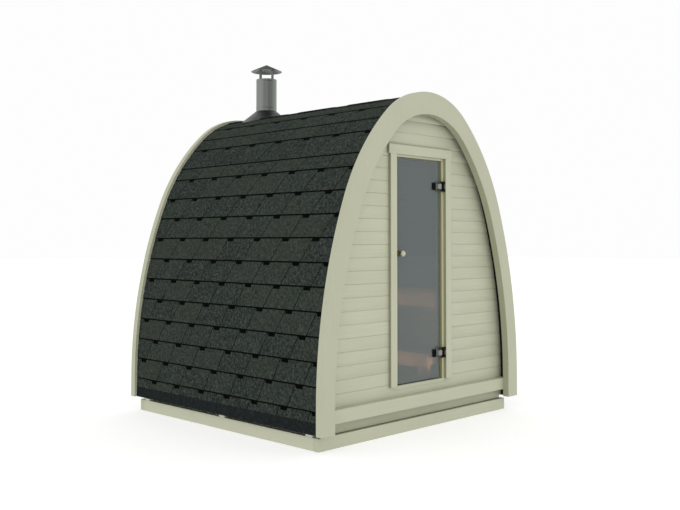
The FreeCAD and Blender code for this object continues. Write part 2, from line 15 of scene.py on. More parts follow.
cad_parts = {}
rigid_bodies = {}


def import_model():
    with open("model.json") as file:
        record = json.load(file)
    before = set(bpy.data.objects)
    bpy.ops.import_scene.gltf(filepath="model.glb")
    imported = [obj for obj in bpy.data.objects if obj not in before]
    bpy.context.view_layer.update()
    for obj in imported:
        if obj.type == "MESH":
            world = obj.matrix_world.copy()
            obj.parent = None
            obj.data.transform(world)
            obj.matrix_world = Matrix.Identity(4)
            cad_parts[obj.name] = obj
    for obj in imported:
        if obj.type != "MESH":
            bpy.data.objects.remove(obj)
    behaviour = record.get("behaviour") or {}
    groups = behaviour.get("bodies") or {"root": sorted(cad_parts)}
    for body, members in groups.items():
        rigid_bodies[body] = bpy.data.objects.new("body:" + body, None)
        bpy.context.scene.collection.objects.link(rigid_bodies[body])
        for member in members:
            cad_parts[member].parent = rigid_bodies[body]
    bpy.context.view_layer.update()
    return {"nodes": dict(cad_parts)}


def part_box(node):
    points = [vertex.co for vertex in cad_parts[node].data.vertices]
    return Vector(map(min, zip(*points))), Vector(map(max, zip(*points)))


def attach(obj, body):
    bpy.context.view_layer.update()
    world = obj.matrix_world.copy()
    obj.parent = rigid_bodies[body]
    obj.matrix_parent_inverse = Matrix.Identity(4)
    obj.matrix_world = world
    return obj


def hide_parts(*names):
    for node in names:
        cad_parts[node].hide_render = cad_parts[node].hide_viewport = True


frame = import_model()
LOG = logging.getLogger("sauna_cabin")

Shape = bmesh.types.BMesh
Face = bmesh.types.BMFace
Tree = bpy.types.NodeTree
Socket = bpy.types.NodeSocket
Spot = tuple[float, float, float]
Span = tuple[float, float]

# Points closer than WELD fall together in a cut, or GROOVE_WELD in a groove. NEAR a plane is on it.
WELD = 0.00001
GROOVE_WELD = 0.00002
NEAR = 0.0005
# Faces that turn less than FLAT are one face, and edges that turn more than CREASE are rounded.
FLAT = math.radians(0.4)
CREASE = math.radians(35)
# A face looks one way when this share of its normal points there.
FACING = 0.7


class Body(Enum):
    """The two bodies that a piece can move with."""

    CABIN = "cabin"
    DOOR = "door"


class Grain(Enum):
    """The direction that a board's grain runs in."""

    ACROSS = 0
    ALONG = 1
    UPRIGHT = 2


def linear(code: str) -> tuple[float, float, float, float]:
    """Turns an sRGB hex colour into the linear values that a shader takes.

    Args:
        code: The colour as six hex digits.

    Returns:
        Linear red, green, blue and an alpha of one.
    """
    parts = [int(code[i : i + 2], 16) / 255 for i in (0, 2, 4)]
    red, green, blue = [p / 12.92 if p <= 0.04045 else ((p + 0.055) / 1.055) ** 2.4 for p in parts]
    return red, green, blue, 1.0


def add_node(tree: Tree, kind: str, inputs: dict | None = None, **settings) -> bpy.types.Node:
    """Adds a shader node with its settings, values and links.

    Args:
        tree: The node tree that gets the node.
        kind: The node's type, without the leading ShaderNode.
        inputs: For each input, by name or place, a value or the socket to link to it.
        **settings: The node's own properties.

    Returns:
        The new node.
    """
    made = tree.nodes.new("ShaderNode" + kind)
    for key, value in settings.items():
        setattr(made, key, value)
    for key, value in (inputs or {}).items():
        if isinstance(value, Socket):
            tree.links.new(value, made.inputs[key])
        else:
            made.inputs[key].default_value = value
    return made


def blank(name: str) -> tuple[bpy.types.Material, Tree]:
    """Makes an empty node material.

    Args:
        name: The material's name.

    Returns:
        The material and its node tree.
    """
    material = bpy.data.materials.new(name)
    material.use_nodes = True
    material.node_tree.nodes.clear()
    return material, material.node_tree


def close(tree: Tree, shader: dict) -> None:
    """Ends a material in a Principled shader.

    Args:
        tree: The material's node tree.
        shader: The shader's inputs, as values or sockets.
    """
    surface = add_node(tree, "BsdfPrincipled", shader)
    add_node(tree, "OutputMaterial", {"Surface": surface.outputs[0]})


def position(tree: Tree) -> Socket:
    """Returns the place on the piece, in metres."""
    return add_node(tree, "TexCoord").outputs["Object"]


def attribute(tree: Tree, name: str) -> Socket:
    """Returns a number that the mesh carries under a name."""
    return add_node(tree, "Attribute", attribute_name=name).outputs["Fac"]


def noise(
    tree: Tree, at: Socket, scale: float, detail: float, roughness: float = 0.5, distortion: float = 0.0
) -> Socket:
    """Returns a cloudy value between nought and one."""
    look = {"Scale": scale, "Detail": detail, "Roughness": roughness, "Distortion": distortion}
    return add_node(tree, "TexNoise", {"Vector": at, **look}).outputs["Fac"]


def laid(tree: Tree, at: Socket, scale: Sequence[float]) -> Socket:
    """Returns the place with each direction scaled by itself."""
    return add_node(tree, "Mapping", {"Vector": at, "Scale": scale}).outputs[0]


def mapped(
    tree: Tree, value: Socket, source: Span = (0.0, 1.0), target: Span = (0.0, 1.0)
) -> Socket:
    """Returns a value carried from one range to another, and held at its ends."""
    ends = dict(zip(("From Min", "From Max", "To Min", "To Max"), (*source, *target)))
    return add_node(tree, "MapRange", {"Value": value, **ends}).outputs[0]


def math_node(
    tree: Tree, first: Socket, second: Socket, operation: str = "ADD", clamp: bool = False
) -> Socket:
    """Returns what an operation makes of two values."""
    return add_node(tree, "Math", {0: first, 1: second}, operation=operation, use_clamp=clamp).outputs[0]


def blend(
    tree: Tree, share: Socket, first: Sequence[float] | Socket, second: Sequence[float] | Socket
) -> Socket:
    """Returns the colour between two others, at a share of the second."""
    mix = add_node(tree, "Mix", {"Factor": share, "A": first, "B": second}, data_type="RGBA")
    return mix.outputs["Result"]


def bump(tree: Tree, height: Socket, distance: float, strength: float) -> Socket:
    """Returns the normal of a surface with a fine relief, its depth in metres."""
    look = {"Height": height, "Distance": distance, "Strength": strength}
    return add_node(tree, "Bump", look).outputs[0]


@dataclass(frozen=True)
class Timber:
    """Planed softwood boards, bare or under paint: long soft streaks, each board a little different."""

    name: str
    pale: str
    deep: str
    grain: Grain
    streak: float = 0.007
    run: float = 0.35
    strength: float = 0.35
    spread: float = 0.25
    roughness: float = 0.5
    relief: float = 0.0003
    # The parts of the noises' range that show, the size of the broad one, and the range of the gloss.
    streak_span: Span = (0.32, 0.72)
    drift_scale: float = 3.2
    drift_span: Span = (0.3, 0.7)
    smoother: float = 0.06
    rougher: float = 0.08

    def make(self) -> bpy.types.Material:
        """Builds the node material.

        Returns:
            The material, with streaks of the grain's width and length in metres.
        """
        material, tree = blank(self.name)
        stretch = [1 / self.streak] * 3
        stretch[self.grain.value] = 1 / self.run
        board = attribute(tree, "board")
        moved = add_node(tree, "VectorMath", {0: position(tree), 1: board}, operation="ADD").outputs[0]
        streaks = noise(tree, laid(tree, moved, stretch), 1.0, 4.0, distortion=0.6)
        grained = mapped(tree, streaks, self.streak_span, (0.0, self.strength))
        tone = mapped(tree, board, target=(0.0, self.spread))
        broad = noise(tree, moved, self.drift_scale, 2.0)
        drift = mapped(tree, broad, self.drift_span, (0.0, self.spread))
        share = math_node(tree, math_node(tree, grained, tone), drift, clamp=True)
        rough = (self.roughness - self.smoother, self.roughness + self.rougher)
        shader = {
            "Base Color": blend(tree, share, linear(self.pale), linear(self.deep)),
            "Roughness": mapped(tree, streaks, target=rough),
            "Normal": bump(tree, streaks, self.relief, 1.0),
        }
        close(tree, shader)
        return material


@dataclass(frozen=True)
class Granules:
    """Mineral granules on bitumen felt: a matt speckle, each tab a little different, with a dark band under
    a lap that is partly a printed shadow band and partly painted shade.
    """

    name: str
    dark: str
    middle: str
    light: str
    olive: str
    # The near-black of the felt underlay, also drawn as painted shade in the band under each lap and on the
    # notch tags.
    shade_and_underlay: str = "050606"
    grit: float = 1 / 0.0045
    patch: float = 58.0
    patch_share: float = 0.6
    stops: Spot = (0.40, 0.52, 0.62)
    lap: float = 0.010
    lap_blur: float = 0.003
    tint_from: float = 0.7
    tint_most: float = 0.55

    def make(self) -> bpy.types.Material:
        """Builds the node material.

        Returns:
            The material. The grit is drawn coarser than the real 1.5 mm, so that it shows.
        """
        material, tree = blank(self.name)
        at = position(tree)
        grit = noise(tree, at, self.grit, 3.0, roughness=0.75)
        patch = noise(tree, at, self.patch, 4.0, roughness=0.7)
        both = add_node(tree, "Mix", {"Factor": self.patch_share, "A": grit, "B": patch})
        ramp = add_node(tree, "ValToRGB", {"Fac": both.outputs["Result"]})
        stops = ramp.color_ramp.elements
        stops[0].position, stops[1].position = self.stops[0], self.stops[2]
        stops[0].color, stops[1].color = linear(self.dark), linear(self.light)
        stops.new(self.stops[1]).color = linear(self.middle)
        uneven = math_node(tree, attribute(tree, "board"), patch, "MULTIPLY")
        share = mapped(tree, uneven, (0.0, self.tint_from), (0.0, self.tint_most))
        tinted = blend(tree, share, ramp.outputs["Color"], linear(self.olive))
        # Painted shade: the band just under the lap over a tab takes the near-black, partly as a printed
        # shadow band.
        shade = mapped(tree, attribute(tree, "drop"), (self.lap - self.lap_blur, self.lap + self.lap_blur))
        shader = {
            "Base Color": blend(tree, shade, linear(self.shade_and_underlay), tinted),
            "Roughness": 0.92,
            "Specular IOR Level": 0.02,
            "Normal": bump(tree, grit, 0.0012, 0.8),
        }
        close(tree, shader)
        return material


@dataclass(frozen=True)
class Metal:
    """Sheet, cast or turned metal: fine drawn lines or a soft cloud in its gloss."""

    name: str
    colour: str
    worn: str
    roughness: float
    metallic: float = 1.0
    stretch: Spot = (60.0, 60.0, 60.0)
    relief: float = 0.0001
    gloss: float = 0.5
    # The worn colour's share in the streaks of painted reflection; nought draws none.
    reflection_bands: float = 0.0
    # The part of the noise's range that shows, and the range of the gloss.
    cloud_span: Span = (0.35, 0.75)
    smoother: float = 0.08
    smoothest: float = 0.03
    rougher: float = 0.1
    # The painted reflection's place, frequency and phase, which were fitted to the photograph.
    stripe_shift: float = 0.503
    stripe_scale: float = 2.12
    stripe_phase: float = 5.35

    def make(self) -> bpy.types.Material:
        """Builds the node material.

        Returns:
            The material, its pattern stretched as the field says.
        """
        material, tree = blank(self.name)
        at = position(tree)
        cloud = noise(tree, laid(tree, at, self.stretch), 1.0, 4.0)
        share = mapped(tree, cloud, self.cloud_span, (0.0, 1 - self.reflection_bands))
        # Painted reflection: dark upright streaks in the colour.
        if self.reflection_bands:
            share = math_node(tree, share, self.reflection_stripes(tree, at), clamp=True)
        rough = (max(self.roughness - self.smoother, self.smoothest), self.roughness + self.rougher)
        shader = {
            "Base Color": blend(tree, share, linear(self.colour), linear(self.worn)),
            "Metallic": self.metallic,
            "Specular IOR Level": self.gloss,
            "Roughness": mapped(tree, cloud, target=rough),
            "Normal": bump(tree, cloud, self.relief, 0.6),
        }
        close(tree, shader)
        return material

    def reflection_stripes(self, tree: Tree, at: Socket) -> Socket:
        """Draws wide upright dark streaks of painted reflection round the tube, 148 mm from one to the
        next.

        Args:
            tree: The material's node tree.
            at: The place on the piece.

        Returns:
            The painted reflection's share of the worn colour.
        """
        turn = {"Vector": at, "Location": (self.stripe_shift, 0, 0), "Rotation": (0, 0, math.pi / 4)}
        slanted = add_node(tree, "Mapping", turn).outputs[0]
        look = {"Vector": slanted, "Scale": self.stripe_scale, "Phase Offset": self.stripe_phase}
        wave = add_node(tree, "TexWave", look)
        return mapped(tree, wave.outputs["Fac"], target=(self.reflection_bands, 0.0))


@dataclass(frozen=True)
class Glass:
    """Toughened tinted glass: an even grey film that a room shows through, with a clear reflection."""

    name: str
    tint: str
    cover: float

    def make(self) -> bpy.types.Material:
        """Builds the node material.

        Returns:
            The material, which lets part of the light straight through.
        """
        material, tree = blank(self.name)
        shader = {
            "Base Color": linear(self.tint),
            "Roughness": 0.04,
            "IOR": 1.52,
            "Alpha": self.cover,
            "Normal": bump(tree, noise(tree, position(tree), 2.5, 1.0), 0.0004, 0.15),
        }
        close(tree, shader)
        return material


def alder(name: str, grain: Grain) -> Timber:
    """Returns bare alder, steamed to a warm brown, as benches are made of."""
    return Timber(name, "b98a60", "7d5434", grain, 0.006, 0.5, 0.75, 0.4, 0.55, 0.0004)


def even(scale: float) -> Spot:
    """Returns one scale for all three directions."""
    return scale, scale, scale


class Finish(Enum):
    """The finishes that the cabin is dressed in, each made once."""

    PAINT_ACROSS = Timber("painted_spruce_across", "b9bba3", "adaf96", Grain.ACROSS)
    # The side beams take the same paint a little lighter: painted light.
    PAINT_ALONG = Timber("painted_spruce_along", "c1c3ab", "b5b79f", Grain.ALONG)
    PAINT_UPRIGHT = Timber("painted_spruce_upright", "b9bba3", "adaf96", Grain.UPRIGHT)
    # The arches take the same paint a little darker: painted shade.
    PAINT_ARCH = Timber("painted_spruce_arch", "b4b69e", "a8aa91", Grain.UPRIGHT)
    # The siding's boards take the same paint, in rows of slightly uneven tone.
    PAINT_SIDING = Timber("painted_spruce_siding", "bdbfa8", "b1b39c", Grain.ACROSS, spread=0.35)
    # The same paint, darker, on the arches' soffits: painted shade.
    PAINT_SOFFIT = Timber("painted_spruce_soffit", "a3a58c", "979980", Grain.UPRIGHT)
    # Darker still on the side faces of the door's boards: painted shade.
    PAINT_EDGE = Timber("painted_spruce_edge", "979a80", "898c72", Grain.UPRIGHT)
    # Yellower on the jambs' fronts: painted warm bounce light off the bare wood.
    PAINT_JAMB = Timber("painted_spruce_jamb", "b9b895", "adab86", Grain.UPRIGHT)
    # Darker and olive on the frame's sideways faces in front of the stops: painted shade.
    PAINT_REBATE = Timber("painted_spruce_rebate", "96936c", "88865f", Grain.UPRIGHT)
    # Darker on the floor rims under the sills: painted shade.
    PAINT_RIM = Timber("painted_spruce_rim", "a1a48b", "959880", Grain.ACROSS)
    ALDER_ACROSS = alder("steamed_alder_across", Grain.ACROSS)
    ALDER_ALONG = alder("steamed_alder_along", Grain.ALONG)
    ALDER_UPRIGHT = alder("steamed_alder_upright", Grain.UPRIGHT)
    # Bare spruce, pale yellow, as the floor and door frame are made of.
    SPRUCE_ALONG = Timber(
        "bare_spruce_along", "b59c76", "8c7049", Grain.ALONG, 0.008, 0.6, 0.6, 0.3, 0.6
    )
    SPRUCE_UPRIGHT = Timber(
        "bare_spruce_upright", "a79b78", "857852", Grain.UPRIGHT, 0.006, 0.6, 0.5, 0.2, 0.6
    )
    SPRUCE_ACROSS = Timber(
        "bare_spruce_across", "a79b78", "857852", Grain.ACROSS, 0.006, 0.6, 0.5, 0.2, 0.6
    )
    # The shell's staves: bare spruce darker and greyer than the floor's, as painted shade in the room.
    SPRUCE_SHELL = Timber(
        "heat_browned_spruce", "8f7a58", "67533a", Grain.ALONG, 0.008, 0.6, 0.6, 0.3, 0.6
    )
    # The edges of the stops behind the glass, nearly white: painted light, so that they show through the
    # tinted glass.
    SPRUCE_FRESH = Timber(
        "fresh_spruce_edge", "f2e6c2", "dccb9c", Grain.UPRIGHT, 0.006, 0.6, 0.4, 0.2, 0.6
    )
    # A dull dark brownish green on the joists and on the floor planks' underside: painted shade under the
    # floor.
    TREATED = Timber(
        "pressure_treated_spruce", "4b4c34", "36372a", Grain.ALONG, 0.006, 0.5, 0.5, 0.3, 0.75, 0.0004
    )
    SHINGLE = Granules("slate_granule_shingle", "191e1c", "313734", "4d544d", "3d4337")
    # Plain roofing felt: nearly black, and matt. The same black is painted shade on the shell's ends in
    # front of the walls and on its downward faces.
    FELT = Granules("black_bitumen_felt", "181c1c", "202525", "2c3131", "222626", lap=-1.0)
    # Stainless steel tube, rolled and lightly brushed round its axis, with upright streaks of painted
    # reflection.
    STAINLESS = Metal(
        "brushed_stainless_steel", "888c87", "535754", 0.27, stretch=(30.0, 30.0, 0.5), reflection_bands=0.8
    )
    # Galvanised steel sheet, dulled by weather: an uneven dark grey cloud.
    GALVANISED = Metal("dulled_galvanised_steel", "454948", "2a2d2d", 0.36, 1.0, even(14.0))
    # The same sheet under the rain cap, paler, the cap's straps, and the cap's top, darker.
    SHELTERED = Metal("sheltered_galvanised_steel", "7f8482", "5c605e", 0.45, 1.0, even(14.0))
    STRAP = Metal("zinc_plated_strap", "8f938f", "787c79", 0.6, 0.0, even(30.0), gloss=0.3)
    SOOTY = Metal("soot_stained_steel", "474c4a", "303433", 0.7, 0.0, even(14.0), gloss=0.1)
    # Black powder coating: a fine even orange peel with a soft sheen.
    BLACK = Metal("black_powder_coat", "060806", "0b0e0b", 0.45, 0.0, even(700.0), 0.0002, 0.06)
    # Satin plated link between the two halves of a glass hinge.
    PLATED = Metal(
        "satin_nickel_plate", "8c8e8b", "7e807c", 0.4, 0.3, (40.0, 40.0, 600.0), gloss=0.3
    )
    BRONZE = Metal("oiled_bronze", "241f08", "151204", 0.5, 1.0, even(200.0))
    BRASS = Metal("turned_brass", "8c8158", "6c6140", 0.3, 1.0, (90.0, 600.0, 90.0))
    # Lacquered beech knob head: pale cream, smooth and slightly shiny.
    BEECH = Timber(
        "lacquered_beech", "c0bfa8", "9f9d84", Grain.ALONG, 0.002, 0.03, 0.5, 0.1, 0.18, 0.00005
    )
    # Recycled rubber packer, matt mid grey, and a nearly black strip in the gap under the glass: painted
    # shadow.
    RUBBER = Metal("grey_rubber_packer", "d2d3c9", "bebfb4", 0.8, 0.0, even(300.0), 0.0004)
    LIP = Metal("black_rubber_lip", "20221c", "16170f", 0.7, 0.0, even(300.0), 0.0002, 0.2)
    GLASS = Glass("tinted_toughened_glass", "636c6b", 0.66)

    def material(self) -> bpy.types.Material:
        """Returns the finish's material, made the first time it is asked for."""
        return bpy.data.materials.get(self.value.name) or self.value.make()


def cad_copy(node: str) -> Shape:
    """Copies a CAD node's mesh with its loose triangles merged into whole faces.

    Args:
        node: The node's name.

    Returns:
        A closed shape that is free to be changed.
    """
    shape = bmesh.new()
    shape.from_mesh(frame["nodes"][node].data)
    bmesh.ops.remove_doubles(shape, verts=shape.verts, dist=WELD)
    bmesh.ops.dissolve_limit(shape, angle_limit=FLAT, verts=shape.verts, edges=shape.edges)
    return shape


def soften(shape: Shape, size: float, segments: int = 2) -> None:
    """Rounds the sharp edges of a shape.

    Args:
        shape: The shape to change.
        size: The width of the rounding in metres.
        segments: The steps of the rounding.
    """
    sharp = [e for e in shape.edges if len(e.link_faces) == 2 and e.calc_face_angle() > CREASE]
    bmesh.ops.bevel(
        shape,
        geom=sharp,
        offset=size,
        offset_type="OFFSET",
        segments=segments,
        profile=0.5,
        affect="EDGES",
        material=-1,
        clamp_overlap=True,
    )


def tag_boards(shape: Shape, key: Callable[[Vector], int] | None = None, seed: int = 7) -> None:
    """Gives each board its own number between nought and one, which shifts its grain and tone.

    Args:
        shape: The shape whose faces get the number.
        key: Says which board a point belongs to. Without it, each loose solid is a board.
        seed: Keeps the numbers the same on every run.
    """
    layer = shape.faces.layers.float.new("board")
    waiting = set(shape.faces)
    count = 0
    while waiting and key is None:
        count += 1
        tone = random.Random(seed * 1000 + count).random()
        reach = [waiting.pop()]
        while reach:
            face = reach.pop()
            face[layer] = tone
            near = {other for edge in face.edges for other in edge.link_faces} & waiting
            waiting -= near
            reach.extend(near)
    for face in waiting:
        face[layer] = random.Random(seed * 1000 + key(face.calc_center_median())).random()


def cut(shape: Shape, point: Sequence[float], normal: Sequence[float], weld: float = WELD, **more) -> list:
    """Cuts a whole shape along a plane, and returns what lies on the cut."""
    geom = [*shape.verts, *shape.edges, *shape.faces]
    made = bmesh.ops.bisect_plane(shape, geom=geom, dist=weld, plane_co=point, plane_no=normal, **more)
    return made["geom_cut"]


def groove(
    shape: Shape,
    point: Vector,
    normal: Vector,
    width: float,
    push: Callable[[Vector], Vector | None],
) -> None:
    """Cuts a V groove along the line where a plane meets a surface.

    Args:
        shape: The shape to cut.
        point: A point of the plane.
        normal: The plane's normal.
        width: The groove's width in metres.
        push: Gives the way and distance that a point of the surface goes in, or None off the surface.
    """
    for step in (-0.5, 0.5, 0.0):
        line = cut(shape, point + normal * width * step, normal, GROOVE_WELD)
    for part in line:
        if isinstance(part, bmesh.types.BMVert):
            move = push(part.co)
            if move is not None:
                part.co += move


def place(
    shape: Shape,
    name: str,
    finishes: Sequence[Finish],
    nodes: Iterable[str] = (),
    smooth: float = 40.0,
    body: Body = Body.CABIN,
) -> bpy.types.Object:
    """Turns a shape into a piece of the cabin.

    Args:
        shape: The finished shape, which is freed.
        name: The piece's name.
        finishes: One finish for each material number of its faces.
        nodes: The CAD nodes that it stands for.
        smooth: Edges below this angle in degrees are shaded smooth.
        body: The body that it moves with.

    Returns:
        The piece's object.
    """
    if shape.faces.layers.float.get("board") is None:
        tag_boards(shape)
    mesh = bpy.data.meshes.new(name)
    shape.to_mesh(mesh)
    shape.free()
    for finish in finishes:
        mesh.materials.append(finish.material())
    mesh.polygons.foreach_set("use_smooth", [True] * len(mesh.polygons))
    mesh.set_sharp_from_angle(angle=math.radians(smooth))
    piece = bpy.data.objects.new(name, mesh)
    bpy.context.scene.collection.objects.link(piece)
    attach(piece, body.value)
    if nodes:
        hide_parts(*nodes)
    return piece


def repaint(node: str, finish: Finish) -> None:
    """Gives a CAD node that stays in view its finish.

    Args:
        node: The node's name.
        finish: The finish that all its faces get.
    """
    mesh = frame["nodes"][node].data
    mesh.materials.clear()
    mesh.materials.append(finish.material())


def block(low: Sequence[float], high: Sequence[float]) -> Shape:
    """Makes a plain block between two corners, for a piece that is then shaped further.

    Args:
        low: The lowest corner in metres.
        high: The highest corner in metres.

    Returns:
        The block.
    """
    shape = bmesh.new()
    low, high = Vector(low), Vector(high)
    size = Matrix.Diagonal((*(high - low), 1.0))
    bmesh.ops.create_cube(shape, size=1.0, matrix=Matrix.Translation((low + high) / 2) @ size)
    return shape


def turned(profile: Sequence[tuple[float, float]], steps: int = 48) -> Shape:
    """Spins an outline round the Z axis, as on a lathe.

    Args:
        profile: Radius and height of each point, from one end on the axis or round a closed wall.
        steps: The faces round the axis.

    Returns:
        The turned shape, standing on the axis.
    """
    shape = bmesh.new()
    points = [shape.verts.new((radius, 0.0, height)) for radius, height in profile]
    edges = [shape.edges.new(pair) for pair in zip(points, points[1:])]
    if profile[0][0] > 0:
        edges.append(shape.edges.new((points[-1], points[0])))
    bmesh.ops.spin(
        shape,
        geom=[*points, *edges],
        cent=(0, 0, 0),
        axis=(0, 0, 1),
        angle=math.tau,
        steps=steps,
        use_merge=True,
    )
    bmesh.ops.remove_doubles(shape, verts=shape.verts, dist=0.000005)
    bmesh.ops.recalc_face_normals(shape, faces=shape.faces)
    return shape


def joined(shapes: Iterable[Shape]) -> Shape:
    """Puts several shapes into one, and frees them.

    Args:
        shapes: The shapes to gather.

    Returns:
        One shape with all of them.
    """
    whole = bmesh.new()
    for shape in shapes:
        mesh = bpy.data.meshes.new("part")
        shape.to_mesh(mesh)
        shape.free()
        whole.from_mesh(mesh)
        bpy.data.meshes.remove(mesh)
    return whole


def paint_faces(shape: Shape, number: Callable[[Face], int]) -> Shape:
    """Gives each face of a shape the number of its finish.

    Args:
        shape: The shape to change.
        number: Gives the place of a face's finish in the piece's list.

    Returns:
        The same shape.
    """
    for face in shape.faces:
        face.material_index = number(face)
    return shape


def plain(_: Face) -> int:
    """Returns the place of a piece's first finish, whatever the face."""
    return 0


def dress(
    node: str,
    name: str,
    finishes: Sequence[Finish],
    easing: float = 0.0,
    number: Callable[[Face], int] = plain,
    smooth: float = 25.0,
) -> None:
    """Dresses a CAD node in a copy of itself with rounded edges.

    Args:
        node: The node that it stands for.
        name: The piece's name.
        finishes: One finish for each number of its faces.
        easing: The rounding of its edges, or nought where the solid has it already.
        number: Gives a face's number.
        smooth: Edges below this angle in degrees are shaded smooth.
    """
    shape = cad_copy(node)
    if easing:
        soften(shape, easing)
    place(paint_faces(shape, number), name, finishes, [node], smooth)


@dataclass(frozen=True)
class RoofCurve:
    """Half of the roof's outline: three tangent arcs from the ridge down, then a straight leg."""

    apex: float = 2.386
    radii: Spot = (0.61355, 1.59983, 3.72428)
    turns: tuple[float, float, float, float] = (0.0, 42.0, 69.0, 90.0)
    skin: float = 0.020

    def spot(self, run: float, inset: float, side: int) -> tuple[Vector, Vector]:
        """Finds a point of the roof by its distance from the ridge.

        Args:
            run: The distance from the ridge down the outer skin, in metres.
            inset: The depth below the arches' rim, in metres.
            side: Minus one on the left, one on the right.

        Returns:
            The point and the outward normal, both at depth Y of nought.
        """
        centre = Vector((0.0, 0.0, self.apex - self.radii[0]))
        for number, radius in enumerate(self.radii):
            first, last = (math.radians(a) for a in self.turns[number : number + 2])
            if number:
                shift = self.radii[number - 1] - radius
                centre += Vector((math.sin(first), 0.0, math.cos(first))) * shift
            length = (radius - self.skin) * (last - first)
            if run <= length or number == len(self.radii) - 1:
                break
            run -= length
        angle = first + min(run, length) / (radius - self.skin)
        out = Vector((math.sin(angle), 0.0, math.cos(angle)))
        spot = centre + out * (radius - inset)
        spot.z -= max(run - length, 0.0)
        return Vector((spot.x * side, 0.0, spot.z)), Vector((out.x * side, 0.0, out.z))


@dataclass(frozen=True)
class Course:
    """One row of shingles: where its lower edge lies, and the first notch under that edge."""

    run: float
    phase: float | None
    pitch: float = 0.297


